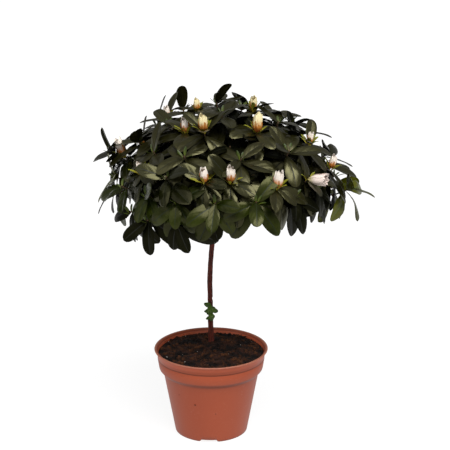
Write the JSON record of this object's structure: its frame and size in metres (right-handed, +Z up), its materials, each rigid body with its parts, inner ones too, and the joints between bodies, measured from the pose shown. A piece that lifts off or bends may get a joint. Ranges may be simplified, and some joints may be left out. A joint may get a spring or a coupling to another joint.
{
  "type": "potted azalea shrub",
  "caption": "Azalea grown on one bare stem, with a rounded crown of dark leaf rosettes and opening white buds, in a round plastic nursery pot filled with peat.",
  "frame": {"origin": "centre of the pot's flat underside", "axes": "+Z up along the plant, -Y towards the plant's front, +X to the right when it is seen from the front"},
  "size_m": [0.32, 0.3048, 0.3984],
  "materials": {
    "pot_plastic": "satin",
    "peat": "matte",
    "bark": "matte",
    "fresh_leaf": "satin",
    "foliage": "satin"
  },
  "bodies": {
    "root": {"pot": "pot_plastic", "soil": "peat", "trunk": "bark", "stem_sprout": "fresh_leaf", "bough_upper_front": "bark", "bough_upper_right": "bark", "bough_upper_back_right": "bark", "bough_upper_back_left": "bark", "bough_upper_left": "bark", "bough_front": "bark", "bough_front_right": "bark", "bough_right": "bark", "bough_back_right": "bark", "bough_back_left": "bark", "bough_left": "bark", "bough_front_left": "bark", "leaves_top": "foliage", "leaves_upper_front": "foliage", "leaves_upper_right": "foliage", "leaves_upper_back_right": "foliage", "leaves_upper_back_left": "foliage", "leaves_upper_left": "foliage", "leaves_front": "foliage", "leaves_front_right": "foliage", "leaves_right": "foliage", "leaves_back_right": "foliage", "leaves_back_left": "foliage", "leaves_left": "foliage", "leaves_front_left": "foliage"}
  },
  "joints": []
}
